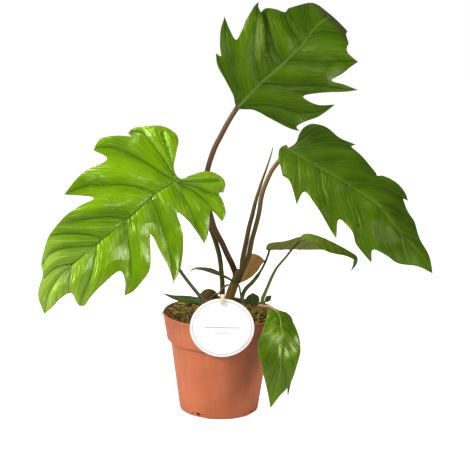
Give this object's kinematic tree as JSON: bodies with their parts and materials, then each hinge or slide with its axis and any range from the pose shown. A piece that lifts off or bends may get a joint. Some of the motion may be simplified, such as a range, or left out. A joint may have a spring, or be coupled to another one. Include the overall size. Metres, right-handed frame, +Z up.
{
  "type": "potted philodendron plant",
  "caption": "Young philodendron mayoi with lobed, pointed leaves on long arching petioles, growing in a tapered nursery pot with a collar and a blank round card on a wooden pick.",
  "frame": {"origin": "centre of the pot's underside, on the surface it stands on", "axes": "+Z up along the pot's axis, -Y towards the side with the card, +X to the right of that view"},
  "size_m": [0.3808, 0.2017, 0.4215],
  "materials": {
    "terracotta_pot": "matt moulded, faint vertical streaks",
    "soil": "rough peat with moss",
    "leaf_bright": "glossy",
    "leaf_mid": "glossy",
    "leaf_dark": "satin",
    "leaf_olive": "satin",
    "stalk_green": "satin",
    "stalk_brown": "satin",
    "stalk_pink": "satin",
    "dry_sheath": "papery",
    "dark_dry_leaf": "papery",
    "white_card": "matt",
    "pale_wood": "matt"
  },
  "bodies": {
    "root": {"pot": "terracotta_pot", "soil": "soil", "main_stem": "stalk_brown", "new_leaf_spike": "stalk_green", "stem_sheath": "dry_sheath", "leaf_left_blade": "leaf_bright", "leaf_left_petiole": "stalk_green", "leaf_top_blade": "leaf_mid", "leaf_top_petiole": "stalk_brown", "leaf_right_blade": "leaf_dark", "leaf_right_petiole": "stalk_brown", "leaf_side_upper_blade": "leaf_mid", "leaf_side_upper_petiole": "stalk_green", "leaf_side_lower_blade": "leaf_olive", "leaf_side_lower_petiole": "stalk_brown", "leaf_front_blade": "leaf_mid", "leaf_front_petiole": "stalk_pink", "leaf_behind_blade": "leaf_dark", "leaf_behind_petiole": "stalk_pink", "leaf_strap_blade": "leaf_dark", "leaf_strap_petiole": "stalk_green", "leaf_low_blade": "leaf_dark", "leaf_low_petiole": "stalk_green", "leaf_back_blade": "leaf_mid", "leaf_back_petiole": "stalk_green", "leaf_round_blade": "leaf_dark", "leaf_round_petiole": "stalk_green", "leaf_young_blade": "leaf_dark", "leaf_young_petiole": "stalk_green", "dry_leaf": "dark_dry_leaf", "dry_stalk": "dry_sheath", "label_card": "white_card", "label_pick": "pale_wood"}
  },
  "joints": []
}
